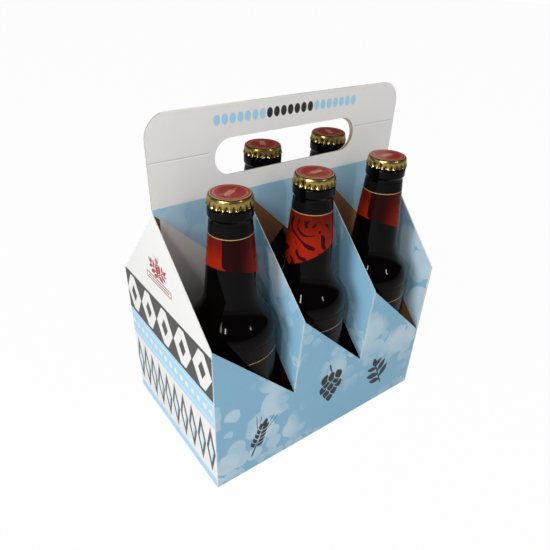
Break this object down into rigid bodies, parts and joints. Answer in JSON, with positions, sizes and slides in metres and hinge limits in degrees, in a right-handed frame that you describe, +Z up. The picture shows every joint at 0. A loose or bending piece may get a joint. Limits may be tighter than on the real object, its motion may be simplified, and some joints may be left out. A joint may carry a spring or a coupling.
{
  "type": "bottle carrier",
  "caption": "Folded paperboard basket carrier with a doubled handle and hand slot, holding capped dark glass bottles in two rows of open cells.",
  "frame": {"origin": "middle of the underside of the carrier's bottom panel", "axes": "+X along the cells of a row, -Y towards the front, +Z up through the handle"},
  "size_m": [0.198, 0.128, 0.2448],
  "materials": {
    "paperboard": "satin",
    "dark_glass": "gloss",
    "cap_metal": "gloss",
    "neck_paper": "gloss",
    "body_paper": "gloss"
  },
  "bodies": {
    "root": {"carrier": "paperboard", "bottle_front_left": "dark_glass", "crown_cap_front_left": "cap_metal", "neck_label_front_left": "neck_paper", "body_label_front_left": "body_paper", "bottle_front_middle": "dark_glass", "crown_cap_front_middle": "cap_metal", "neck_label_front_middle": "neck_paper", "body_label_front_middle": "body_paper", "bottle_front_right": "dark_glass", "crown_cap_front_right": "cap_metal", "neck_label_front_right": "neck_paper", "body_label_front_right": "body_paper", "bottle_back_left": "dark_glass", "crown_cap_back_left": "cap_metal", "neck_label_back_left": "neck_paper", "body_label_back_left": "body_paper", "bottle_back_middle": "dark_glass", "crown_cap_back_middle": "cap_metal", "neck_label_back_middle": "neck_paper", "body_label_back_middle": "body_paper", "bottle_back_right": "dark_glass", "crown_cap_back_right": "cap_metal", "neck_label_back_right": "neck_paper", "body_label_back_right": "body_paper"}
  },
  "joints": []
}
